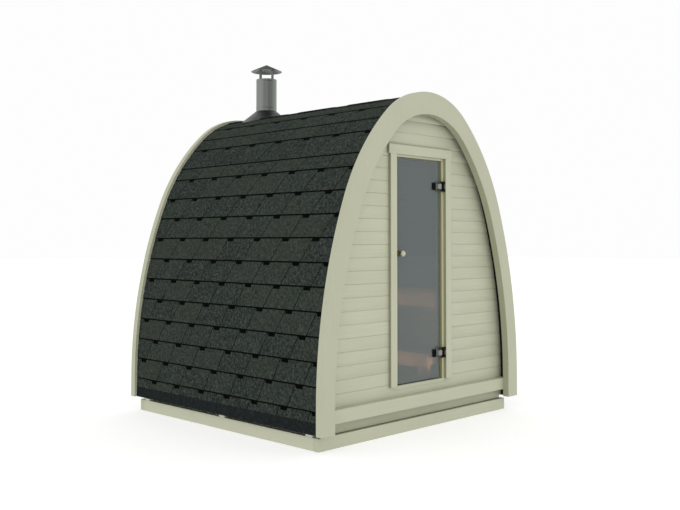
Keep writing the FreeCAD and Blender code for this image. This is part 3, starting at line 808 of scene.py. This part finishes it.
@dataclass
class Roofing:
    """The shingles on both slopes, the ridge caps and the felt strips at the eaves."""

    curve: RoofCurve = field(default_factory=RoofCurve)
    half_depth: float = 1.0245
    foot: float = 2.627
    thickness: float = 0.0034
    cover: float = 0.045
    lean: float = 0.484
    gap: float = 0.0070
    plain_start: float = 0.03
    # The inset of a row's lower edge, and how much deeper its upper edge lies.
    row_inset: float = 0.0205
    row_fall: float = 0.004
    # A notch's width at its top and foot and its length, its hidden part, height and thickness. Each notch
    # is a thin tag in the near-black lap colour: painted shadow of the cut-out.
    notch: Spot = (0.076, 0.060, 0.030)
    notch_tuck: float = 0.012
    notch_lift: float = 0.0008
    notch_thickness: float = 0.0016
    felt_inset: float = 0.0262
    felt_thickness: float = 0.0014
    cap_half: float = 0.165
    cap_length: float = 0.33
    cap_overlap: float = 1.25
    cap_inset: float = 0.0172
    cap_lift: float = 0.0031
    courses: tuple[Course, ...] = tuple(
        Course(*row)
        for row in (
            (0.200, None), (0.340, -0.115, 0.303), (0.490, None), (0.622, -0.055, 0.305),
            (0.822, None), (0.935, -0.102), (1.112, 0.045), (1.280, -0.099), (1.445, 0.052),
            (1.613, -0.099), (1.773, 0.052), (1.933, -0.102), (2.090, 0.045), (2.247, -0.105),
            (2.400, 0.045), (2.554, -0.105), (2.627, None),
        )
    )

    def slab(
        self,
        run: Span,
        depth: Span,
        side: int,
        tone: int,
        inset: Callable[[float], float],
        thickness: float,
        steps: int = 1,
        drop: Callable[[float], float] = lambda _: 0.0,
        lean: float = 0.0,
        pivot: float = 0.0,
        foot: float = 1.0,
    ) -> Shape:
        """Makes a slab and bends it onto the roof.

        Args:
            run: The distances of its upper and lower edge from the ridge.
            depth: The depths of its front and back edge.
            side: Minus one on the left, one on the right.
            tone: The number that its tone is drawn from.
            inset: Gives the inset of its outer face at a run.
            thickness: Its thickness.
            steps: The divisions down the slope.
            drop: Gives the distance under the lap over it at a run. The slab takes painted shade where that
                is low.
            lean: The shift in depth for each metre of run.
            pivot: The run at which it isn't shifted.
            foot: Its width at the lower edge, for a width of one at the upper edge.

        Returns:
            The slab in its place.
        """
        (first, last), (low, high) = run, depth
        shape = block((first, low, 0.0), (last, high, 1.0))
        for number in range(1, steps):
            cut(shape, (first + (last - first) * number / steps, 0, 0), (1, 0, 0))
        tag_boards(shape, lambda _: tone)
        layer = shape.verts.layers.float.new("drop")
        for vert in shape.verts:
            at, across, height = vert.co
            vert[layer] = drop(at)
            across += (across - (low + high) / 2) * (foot - 1) * (at - first) / (last - first)
            spot, out = self.curve.spot(at, inset(at), side)
            vert.co = spot + Vector((0, across + (at - pivot) * lean, 0)) - out * thickness * (1 - height)
        if side > 0:
            bmesh.ops.reverse_faces(shape, faces=shape.faces)
        return shape

    def course(self, number: int, side: int) -> list[Shape]:
        """Makes one row of tabs with the dark tags that hang from the row above it as painted shadow in its
        notches.

        Args:
            number: The row's place in the list of courses.
            side: Minus one on the left, one on the right.

        Returns:
            The row's shapes.
        """
        row = self.courses[number]
        above = self.courses[number - 1] if number else Course(0.0, None)
        pitch = row.pitch if row.phase is not None else above.pitch
        wide, narrow, length = self.notch
        if row.phase is not None:
            start, pivot = row.phase - wide / 2, row.run
        elif above.phase is not None:
            start, pivot = above.phase + wide / 2, above.run
        else:
            start, pivot = self.plain_start, row.run
        upper = max(above.run - self.cover, 0.0)
        under = (above.run - self.notch_tuck, above.run + length)
        shapes = []

        def inset(run: float) -> float:
            """Lifts a row's lower edge over the row below it."""
            return self.row_inset + self.row_fall * (row.run - run) / (row.run - upper)

        first = math.floor((-self.half_depth - start) / pitch) - 1
        for tab in range(first, first + math.ceil(2 * self.half_depth / pitch) + 4):
            low = start + tab * pitch + self.gap / 2
            shapes.append(
                self.slab(
                    (upper, row.run),
                    (low, low + pitch - self.gap),
                    side,
                    tab + 40 * number + 1000 * side,
                    inset,
                    self.thickness,
                    steps=3,
                    drop=lambda run: run - above.run,
                    lean=self.lean,
                    pivot=pivot,
                )
            )
            # Painted shadow: a thin near-black tag under each notch of the row above.
            if above.phase is not None:
                middle = above.phase + tab * above.pitch
                shapes.append(
                    self.slab(
                        under,
                        (middle - wide / 2, middle + wide / 2),
                        side,
                        1,
                        lambda run: inset(run) - self.notch_lift,
                        self.notch_thickness,
                        foot=narrow / wide,
                    )
                )
        return shapes

    def build(self) -> None:
        """Lays the felt, the rows of shingles on both sides and the ridge caps."""
        shapes = []
        for side in (-1, 1):
            under = (0.0, self.foot), (-self.half_depth, self.half_depth), side, 2
            felt = self.slab(*under, lambda _: self.felt_inset, self.felt_thickness, steps=40)
            shapes.append(felt)
            for number in range(len(self.courses)):
                shapes.extend(self.course(number, side))
        roof = joined(shapes)
        for end in (-1, 1):
            cut(roof, (0, end * self.half_depth, 0), (0, end, 0), clear_outer=True)
            bmesh.ops.holes_fill(roof, edges=[e for e in roof.edges if e.is_boundary])
        nodes = ["roof_covering_left", "roof_covering_right"]
        place(roof, "shingle_courses", [Finish.SHINGLE], nodes, 30.0)
        self.ridge()
        dress("eave_strips", "eave_felt_strips", [Finish.FELT], smooth=40.0)

    def ridge(self) -> None:
        """Lays the caps along the ridge, each over the end of the one behind it."""
        shapes = []
        count = math.ceil(2 * self.half_depth / self.cap_length) + 1
        step = 2 * self.half_depth / (count - 0.5)
        for number in range(count):
            low = -self.half_depth + number * step
            inset = self.cap_inset - self.cap_lift * (number % 2)
            for side in (-1, 1):
                shapes.append(
                    self.slab(
                        (0.0, self.cap_half),
                        (low, min(low + step * self.cap_overlap, self.half_depth)),
                        side,
                        500 + number,
                        lambda _: inset,
                        self.thickness,
                        steps=5,
                        drop=lambda _: 1.0,
                    )
                )
        place(joined(shapes), "ridge_cap_shingles", [Finish.SHINGLE], (), 30.0)


@dataclass
class Timberwork:
    """The painted frame timbers: base, sills, arches, floor rims, and the packers under the cabin."""

    easing: float = 0.003
    packer_easing: float = 0.002
    arch_focus: float = 0.9
    soffit_share: float = 0.6

    def build(self) -> None:
        """Dresses the timbers with eased edges and the paint's grain along each."""
        across = ("base_front_beam", "base_back_beam", "base_middle_beam")
        self.timbers(across, Finish.PAINT_ACROSS)
        # The side beams take the lighter paint: painted light.
        self.timbers(("base_left_beam", "base_right_beam"), Finish.PAINT_ALONG)
        self.timbers(("front_sill", "back_sill"), Finish.PAINT_ACROSS)
        # The arches take the darker copy of the paint, and their soffits a darker one still: painted shade.
        finishes = [Finish.PAINT_ARCH, Finish.PAINT_SOFFIT]
        for node in ("front_arch", "back_arch"):
            dress(node, node + "_painted", finishes, number=self.soffit)
        # The floor rims under the sills take the darker paint: painted shade.
        self.timbers(("floor_rims",), Finish.PAINT_RIM)
        dress(
            "support_pads", "rubber_packers", [Finish.RUBBER], self.packer_easing, smooth=40.0
        )

    def timbers(self, nodes: Sequence[str], finish: Finish) -> None:
        """Dresses straight timbers, each in a copy with eased edges."""
        for node in nodes:
            dress(node, node + "_painted", [finish, Finish.PAINT_SOFFIT], self.easing)

    def soffit(self, face: Face) -> int:
        """Tells an arch's soffit, which takes painted shade, from its other faces.

        Args:
            face: The face.

        Returns:
            One where it looks in at the middle of the arch, or nought.
        """
        middle = face.calc_center_median() - Vector((0, 0, self.arch_focus))
        middle.y = 0.0
        return int(face.normal.dot(middle.normalized()) < -self.soffit_share)


@dataclass
class Siding:
    """The front and back walls of horizontal boards with a V groove between each two."""

    pitch: float = 0.0877
    first: float = 0.3385
    top: float = 2.28
    width: float = 0.0065
    depth: float = 0.0035
    front_face: float = -0.9745
    back_face: float = 0.9745

    def build(self) -> None:
        """Cuts the grooves into copies of the walls' solids."""
        for node in ("front_wall_left", "front_wall_right", "front_wall_top", "front_wall_bottom"):
            self.wall(node, self.front_face, 1)
        self.wall("back_wall", self.back_face, -1)

    def wall(self, node: str, face: float, inward: int) -> None:
        """Grooves the outer face of one wall.

        Args:
            node: The CAD node that it stands for.
            face: The depth of its outer face.
            inward: One or minus one, the way into the wall.
        """
        shape = cad_copy(node)
        low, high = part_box(node)
        count = math.ceil((self.top - self.first) / self.pitch)
        push = Vector((0, inward * self.depth, 0))
        for line in (self.first + self.pitch * n for n in range(count)):
            if low[2] + self.width < line < high[2] - self.width:
                groove(
                    shape,
                    Vector((0, 0, line)),
                    Vector((0, 0, 1)),
                    self.width,
                    lambda co: push if abs(co.y - face) < NEAR else None,
                )
        tag_boards(shape, lambda co: int((co.z - self.first) / self.pitch + 20), seed=3)
        place(shape, node + "_boards", [Finish.PAINT_SIDING], [node], 20.0)


@dataclass
class Lining:
    """The curved shell of narrow staves along the depth, seen from inside, and the floor."""

    curve: RoofCurve = field(default_factory=RoofCurve)
    stave: float = 0.094
    staves: int = 28
    width: float = 0.007
    depth: float = 0.004
    reach: float = 0.004
    inner: float = 0.078
    wall_face: float = 0.9745
    underside: float = 0.9
    floor_board: float = 0.118
    floor_groove: float = 0.006
    joist_easing: float = 0.003

    def build(self) -> None:
        """Grooves the inside of the shell and the top of the floor."""
        for node, sides in (
            ("side_wall_left", (-1,)),
            ("side_wall_right", (1,)),
            ("roof_haunch_left", (-1,)),
            ("roof_haunch_right", (1,)),
            ("roof_crown", (-1, 1)),
        ):
            self.shell(node, sides)
        self.floor()

    def shell(self, node: str, sides: Sequence[int]) -> None:
        """Grooves the inside of one piece of the shell.

        Args:
            node: The CAD node that it stands for.
            sides: The sides of the ridge that it reaches.
        """
        shape = cad_copy(node)
        low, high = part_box(node)
        for side in sides:
            for number in range(self.staves):
                run = (number + 0.5) * self.stave
                spot, out = self.curve.spot(run, self.inner, side)
                if not (low[0] - 2 * NEAR < spot.x < high[0] + 2 * NEAR and low[2] < spot.z < high[2]):
                    continue

                def push(co: Vector) -> Vector | None:
                    """Moves the points near the line into the stave."""
                    near = math.hypot(co.x - spot.x, co.z - spot.z) < self.reach
                    return out * self.depth if near else None

                groove(shape, spot, Vector((out.z, 0, -out.x)), self.width, push)
        # Painted shade: the staves' ends in front of the walls, in a deep narrow recess, and their downward
        # faces take the black felt.
        for end in (-self.wall_face, self.wall_face):
            cut(shape, (0, end, 0), (0, 1, 0), GROOVE_WELD)
        for face in shape.faces:
            outside = abs(face.calc_center_median().y) > self.wall_face
            face.material_index = int(outside or face.normal.z < -self.underside)
        tag_boards(shape, lambda co: int(co.z / self.stave) + 100 * int(co.x > 0), seed=5)
        # The staves' spruce is drawn darker and greyer: painted shade.
        finishes = [Finish.SPRUCE_SHELL, Finish.FELT]
        place(shape, node + "_staves", finishes, [node], 25.0)

    def floor(self) -> None:
        """Grooves the top of the floor between its boards, and dresses the joists."""
        shape = cad_copy("floor_boards")
        low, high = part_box("floor_boards")
        count = int((high[0] - low[0]) / self.floor_board)
        for number in range(1, count + 1):
            groove(
                shape,
                Vector((low[0] + number * self.floor_board, 0, 0)),
                Vector((1, 0, 0)),
                self.floor_groove,
                lambda co: Vector((0, 0, -self.depth)) if abs(co.z - high[2]) < NEAR else None,
            )
        tag_boards(shape, lambda co: int((co.x - low[0]) / self.floor_board), seed=9)
        # Painted shade: the planks' underside takes the dark underfloor colour.
        paint_faces(shape, lambda face: int(face.normal.z < -FACING))
        finishes = [Finish.SPRUCE_ALONG, Finish.TREATED]
        place(shape, "floor_planks", finishes, ["floor_boards"], 20.0)
        # The joists take the dark underfloor colour too: painted shade.
        finishes = [Finish.TREATED]
        name = "floor_joists_planed"
        dress("floor_joists", name, finishes, self.joist_easing, smooth=40.0)


@dataclass
class Doorway:
    """The frame round the door: jambs, head and threshold, with painted boards over them."""

    easing: float = 0.0012
    board_easing: float = 0.002
    stop_face: float = -0.9475
    stop_edge: float = 0.252
    head_foot: float = 1.92
    shadow_strip_half: float = 0.2340
    shadow_strip_front: float = -0.9498
    shadow_strip_depth: float = 0.0030
    shadow_strip_height: float = 0.0085
    shadow_strip_sink: float = 0.001
    shadow_strip_easing: float = 0.0009

    def build(self) -> None:
        """Dresses the frame and its boards."""
        # The jambs' fronts take the yellower paint: painted warm bounce light.
        for node, paint, bare in (
            ("door_jamb_left", Finish.PAINT_JAMB, Finish.SPRUCE_UPRIGHT),
            ("door_jamb_right", Finish.PAINT_JAMB, Finish.SPRUCE_UPRIGHT),
            ("door_head", Finish.PAINT_ACROSS, Finish.SPRUCE_ACROSS),
            ("door_threshold", Finish.PAINT_ACROSS, Finish.PAINT_ACROSS),
        ):
            self.member(node, paint, bare)
        for node, finish in (
            ("door_casing_left", Finish.PAINT_UPRIGHT),
            ("door_casing_right", Finish.PAINT_UPRIGHT),
            ("door_header_board", Finish.PAINT_ACROSS),
        ):
            # The boards' side faces take the darker edge paint: painted shade.
            dress(
                node,
                node + "_painted",
                [finish, Finish.PAINT_EDGE],
                self.board_easing,
                lambda face: int(abs(face.normal.x) > FACING),
            )
        self.shadow_strip()

    def member(self, node: str, paint: Finish, bare: Finish) -> None:
        """Dresses one piece of the frame, painted in front and bare behind the glass.

        Args:
            node: The CAD node that it stands for.
            paint: The finish of its front.
            bare: The finish of what lies behind the glass.
        """
        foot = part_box("door_casing_left")[0][2]
        shape = cad_copy(node)
        soften(shape, self.easing)
        cut(shape, (0, 0, foot), (0, 0, 1))

        def number(face: Face) -> int:
            """Sorts a face by where it lies and where it looks."""
            middle = face.calc_center_bounds()
            if middle.z < foot:
                return 4
            if middle.y > self.stop_face:
                return 1 + 2 * int(self.faces_opening(face, node))
            return 2 * int(abs(face.normal.x) > FACING)

        # The frame's sideways faces in front of the stops take painted shade, and its edges into the
        # opening behind the glass painted light.
        finishes = [paint, bare, Finish.PAINT_REBATE, Finish.SPRUCE_FRESH, Finish.PAINT_ACROSS]
        paint_faces(shape, number)
        place(shape, node + "_planed", finishes, [node], 25.0)

    def faces_opening(self, face: Face, node: str) -> bool:
        """Says whether a face of the frame looks into the opening behind the glass.

        Args:
            face: The face.
            node: The node that it belongs to.

        Returns:
            True for the inner edge of a jamb, and for the lower edge of the head.
        """
        middle = face.calc_center_bounds()
        if "jamb" in node:
            inward = -math.copysign(1.0, middle.x) * face.normal.x
            return inward > FACING and abs(middle.x) < self.stop_edge
        return node == "door_head" and face.normal.z < -FACING and middle.z < self.head_foot

    def shadow_strip(self) -> None:
        """Stands a thin black strip on the threshold, close behind the glass: painted shadow in the gap
        under the glass.
        """
        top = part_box("door_threshold")[1][2]
        low = (-self.shadow_strip_half, self.shadow_strip_front, top - self.shadow_strip_sink)
        high = (self.shadow_strip_half, self.shadow_strip_front + self.shadow_strip_depth, top + self.shadow_strip_height)
        shape = block(low, high)
        soften(shape, self.shadow_strip_easing)
        place(shape, "threshold_lip", [Finish.LIP])


@dataclass
class Door:
    """The glass leaf with its two hinges and the knobs."""

    hinge_heights: Span = (0.5125, 1.7285)
    hinge_axis: Span = (0.246, -0.9855)
    hinge_easing: float = 0.0008
    plated: Span = (0.194, 0.2345)
    # A bracket's arms: their feet from the hinge's height, their corners from the axis, and their height.
    arm_feet: Span = (-0.037, 0.029)
    arm_low: Span = (-0.023, -0.0035)
    arm_high: Span = (0.012, 0.004)
    arm_height: float = 0.008
    screw_across: float = 0.180
    screw_lift: float = 0.016
    screw_radius: float = 0.0045
    clamp_thickness: float = 0.008
    outer_face: float = -0.9595
    inner_face: float = -0.9515
    knob_spot: Span = (-0.218, 1.240)
    # The radius of each knob's head, and its reach off the glass.
    outside_knob: Span = (0.021, 0.055)
    inside_knob: Span = (0.013, 0.034)

    def build(self) -> None:
        """Dresses the leaf, its hinges and its knobs."""
        repaint("door_glass", Finish.GLASS)
        self.hinges()
        self.knob("door_knob_outside", self.outer_face, -1, *self.outside_knob)
        self.knob("door_knob_inside", self.inner_face, 1, *self.inside_knob)

    def hinges(self) -> None:
        """Dresses the clamps on the glass, the plated links, the brackets on the frame and their screws."""
        clamps = cad_copy("door_hinge_clamps")
        soften(clamps, self.hinge_easing)
        for line in self.plated:
            cut(clamps, (line, 0, 0), (1, 0, 0))
        left, right = self.plated
        paint_faces(clamps, lambda face: int(left < face.calc_center_bounds().x < right))
        finishes, nodes = [Finish.BLACK, Finish.PLATED], ["door_hinge_clamps"]
        place(clamps, "hinge_clamps_and_links", finishes, nodes, body=Body.DOOR)
        shapes = [cad_copy("door_hinge_brackets")]
        across, depth = self.hinge_axis
        for height in self.hinge_heights:
            for foot in self.arm_feet:
                low = (across + self.arm_low[0], depth + self.arm_low[1], height + foot)
                top = height + foot + self.arm_height
                shapes.append(block(low, (across + self.arm_high[0], depth + self.arm_high[1], top)))
        brackets = joined(shapes)
        soften(brackets, self.hinge_easing)
        nodes = ["door_hinge_brackets"]
        place(brackets, "hinge_brackets", [Finish.BLACK], nodes)
        heads = []
        for height in self.hinge_heights:
            for lift in (-self.screw_lift, self.screw_lift):
                spot = (self.screw_across, self.outer_face - self.clamp_thickness, height + lift)
                heads.append(self.screw(spot, self.screw_radius))
        place(joined(heads), "hinge_clamp_screws", [Finish.BLACK], body=Body.DOOR)

    def screw(self, spot: Spot, radius: float) -> Shape:
        """Makes a low round screw head with a shallow round socket, facing the front.

        Args:
            spot: The middle of its seat in metres.
            radius: The head's radius.

        Returns:
            The screw head in its place.
        """
        shape = turned(
            (
                (0.0, 0.0), (radius, 0.0), (radius, 0.0008), (radius * 0.8, 0.0016),
                (radius * 0.5, 0.0018), (radius * 0.45, 0.0008), (0.0, 0.0008),
            ),
            steps=12,
        )
        turn = Matrix.Translation(spot) @ Matrix.Rotation(math.pi / 2, 4, "X")
        bmesh.ops.transform(shape, matrix=turn, verts=shape.verts)
        return shape

    def knob(self, node: str, face: float, way: int, radius: float, reach: float) -> None:
        """Turns a knob: a dark rose on the glass, a brass neck and a round cream head.

        Args:
            node: The CAD node that it stands for.
            face: The depth of the glass face that it stands on.
            way: Minus one for the outside, one for the inside.
            radius: The head's radius.
            reach: How far it stands off the glass.
        """
        wide, neck, foot, start = radius * 0.88, radius * 0.56, reach * 0.2, reach * 0.5
        rose = turned(
            (
                (0.0, 0.0), (wide * 0.97, 0.0), (wide, 0.001),
                (wide, foot - 0.0016), (wide * 0.94, foot), (0.0, foot),
            )
        )
        collar = turned(
            (
                (0.0, foot - 0.0005), (neck * 1.3, foot), (neck * 1.05, foot + 0.002),
                (neck, (foot + start) / 2), (neck * 1.15, start), (0.0, start + 0.002),
            )
        )
        arc = [math.pi * n / 14 for n in range(15)]
        middle, half = (start + reach) / 2, (reach - start) / 2
        head = turned([(radius * math.sin(a) ** 0.8, middle - half * math.cos(a)) for a in arc])
        whole = joined(paint_faces(part, lambda _: n) for n, part in enumerate((rose, collar, head)))
        turn = Matrix.Rotation(math.pi / 2 * -way, 4, "X")
        spot = Matrix.Translation((self.knob_spot[0], face, self.knob_spot[1]))
        bmesh.ops.transform(whole, matrix=spot @ turn, verts=whole.verts)
        finishes = [Finish.BRONZE, Finish.BRASS, Finish.BEECH]
        place(whole, node + "_turned", finishes, [node], 35.0, Body.DOOR)


@dataclass
class Chimney:
    """The flue pipe with its flashing and rain cap."""

    middle: Span = (0.0, 0.7115)
    radius: float = 0.087
    upright: float = 0.2
    bead_heights: Span = (2.462, 2.690)
    bead_size: float = 0.0016
    bead_sink: float = 0.001
    seam_ends: Span = (2.44, 2.70)
    seam_half: float = 0.004
    seam_sink: float = 0.0005
    seam_rise: float = 0.0012
    seam_easing: float = 0.0006

    def build(self) -> None:
        """Dresses the three parts and adds the rolled beads and the folded seam."""
        for node, *finishes in (
            ("chimney_pipe", Finish.STAINLESS),
            ("chimney_flashing", Finish.GALVANISED),
            # The cap's top is drawn darker and its underside paler.
            ("chimney_cap", Finish.SOOTY, Finish.SHELTERED, Finish.STRAP),
        ):
            number = self.side if len(finishes) > 1 else plain
            dress(node, node + "_sheet", finishes, number=number, smooth=28.0)
        beads = [self.bead(height, self.bead_size) for height in self.bead_heights]
        foot, top = self.seam_ends
        low = (-self.seam_half, self.radius - self.seam_sink, foot)
        seam = block(low, (self.seam_half, self.radius + self.seam_rise, top))
        soften(seam, self.seam_easing)
        whole = joined((*beads, seam))
        bmesh.ops.transform(whole, matrix=Matrix.Translation((*self.middle, 0.0)), verts=whole.verts)
        place(whole, "chimney_beads_and_seam", [Finish.STAINLESS])

    def side(self, face: Face) -> int:
        """Returns two for an upright face of the cap, one for its underside and nought for its top."""
        return 2 if abs(face.normal.z) < self.upright else int(face.normal.z < 0)

    def bead(self, height: float, size: float) -> Shape:
        """Makes a low rolled bead round the pipe.

        Args:
            height: The bead's middle.
            size: How far it stands out.

        Returns:
            The bead round the Z axis.
        """
        inner = self.radius - self.bead_sink
        lower = ((0.0, -2.0), (self.bead_sink, -2.0), (self.bead_sink + size, -0.7))
        upper = [(out, -lift) for out, lift in reversed(lower)]
        return turned([(inner + out, height + lift * size) for out, lift in (*lower, *upper)])


@dataclass
class Benches:
    """The upper bench across the side and the lower bench in front of it."""

    easing: float = 0.004

    def build(self) -> None:
        """Dresses the benches with rounded boards of bare alder."""
        for node, finish in (
            ("upper_bench_seat", Finish.ALDER_ALONG),
            ("upper_bench_skirt", Finish.ALDER_ALONG),
            ("upper_bench_ledger", Finish.ALDER_ALONG),
            ("upper_bench_bearers", Finish.ALDER_ACROSS),
            ("lower_bench_seat", Finish.ALDER_ALONG),
            ("lower_bench_beams", Finish.ALDER_ALONG),
            ("lower_bench_legs", Finish.ALDER_UPRIGHT),
            ("lower_bench_bearers", Finish.ALDER_ACROSS),
        ):
            dress(node, node + "_planed", [finish], self.easing, smooth=30.0)


@dataclass(frozen=True)
class Lamp:
    """One soft rectangular lamp."""

    spot: Spot
    aim: Spot
    size: Span
    power: float
    colour: str
    spread: float

    def hang(self, name: str) -> None:
        """Puts the lamp in its place, with its width level.

        Args:
            name: The lamp's name.
        """
        light = bpy.data.lights.new(name, "AREA")
        light.shape = "RECTANGLE"
        light.size, light.size_y = self.size
        light.spread = math.radians(self.spread)
        light.energy = self.power
        light.color = linear(self.colour)[:3]
        holder = bpy.data.objects.new(name, light)
        holder.location = self.spot
        way = Vector(self.aim) - Vector(self.spot)
        holder.rotation_euler = way.to_track_quat("-Z", "Y").to_euler()
        bpy.context.scene.collection.objects.link(holder)


@dataclass
class Studio:
    """The pale floor, the soft light and the camera."""

    floor_half: float = 60.0
    floor_glow: float = 0.51
    sky: float = 0.985
    eye: Spot = (-4.8676, -4.9584, 1.3195)
    yaw: float = 0.7937
    rise: float = 0.0309
    focal_pixels: float = 874.32
    picture: tuple[int, int] = (680, 510)
    axis_row: float = 215.08
    sensor: float = 36.0
    farthest: float = 300.0
    lamps: tuple[Lamp, ...] = (
        Lamp((-5.0, -6.5, 4.0), (0.0, -0.4, 1.2), (4.5, 4.5), 22.0, "ffffff", 180.0),
        Lamp((-0.55, -0.55, 0.60), (0.48, -0.5, 0.60), (0.3, 0.3), 1.3, "ffe2bd", 44.0),
        Lamp((-0.60, -0.57, 0.87), (0.48, -0.57, 0.872), (0.6, 0.05), 0.26, "ffe2bd", 14.0),
        Lamp((-0.60, -0.57, 0.40), (0.35, -0.57, 0.405), (0.6, 0.05), 0.27, "ffe2bd", 16.0),
        Lamp((0.375, -0.91, 0.400), (0.375, -0.75, 0.400), (0.05, 0.05), 0.13, "ffe9cc", 52.0),
    )

    def build(self) -> None:
        """Sets up the floor, the world, the lamps and the camera."""
        scene = bpy.context.scene
        scene.view_settings.view_transform = "Standard"
        world = bpy.data.worlds.new("white_studio")
        world.use_nodes = True
        background = world.node_tree.nodes["Background"]
        background.inputs["Color"].default_value = linear("ffffff")
        background.inputs["Strength"].default_value = self.sky
        scene.world = world
        self.floor()
        for number, lamp in enumerate(self.lamps):
            lamp.hang(f"soft_lamp_{number}")
        self.camera(scene)

    def floor(self) -> None:
        """Lays a plain pale floor with a faint even mottle."""
        shape = bmesh.new()
        bmesh.ops.create_grid(shape, x_segments=1, y_segments=1, size=self.floor_half)
        mesh = bpy.data.meshes.new("studio_floor")
        shape.to_mesh(mesh)
        shape.free()
        material, tree = blank("matt_white_floor")
        mottle = noise(tree, position(tree), 1.5, 2.0)
        shader = {
            "Base Color": blend(tree, mottle, linear("ccccca"), linear("c9c9c7")),
            "Roughness": 0.9,
            "Specular IOR Level": 0.1,
            "Emission Color": linear("ffffff"),
            "Emission Strength": self.floor_glow,
        }
        close(tree, shader)
        mesh.materials.append(material)
        floor = bpy.data.objects.new("studio_floor", mesh)
        bpy.context.scene.collection.objects.link(floor)

    def camera(self, scene: bpy.types.Scene) -> None:
        """Sets the camera where the photograph was taken from.

        Args:
            scene: The scene that gets the camera.
        """
        width, height = self.picture
        data = bpy.data.cameras.new("photograph_camera")
        data.sensor_fit = "HORIZONTAL"
        data.sensor_width = self.sensor
        data.lens = self.focal_pixels / width * data.sensor_width
        data.shift_y = (self.axis_row - height / 2) / width
        data.clip_end = self.farthest
        holder = bpy.data.objects.new("photograph_camera", data)
        holder.location = self.eye
        holder.rotation_euler = (math.pi / 2 + self.rise, 0.0, -self.yaw)
        scene.collection.objects.link(holder)
        scene.camera = holder


def main() -> None:
    """Builds the cabin's pieces in order."""
    logging.basicConfig(level=logging.INFO, format="%(name)s %(message)s")
    Studio().build()
    for assembly in (Timberwork(), Siding(), Lining(), Roofing(), Doorway(), Door(), Chimney(), Benches()):
        before = set(bpy.data.objects)
        assembly.build()
        for piece in sorted(set(bpy.data.objects) - before, key=lambda o: o.name):
            LOG.info("%s: %s, %d faces", type(assembly).__name__, piece.name, len(piece.data.polygons))


if __name__ == "__main__":
    main()
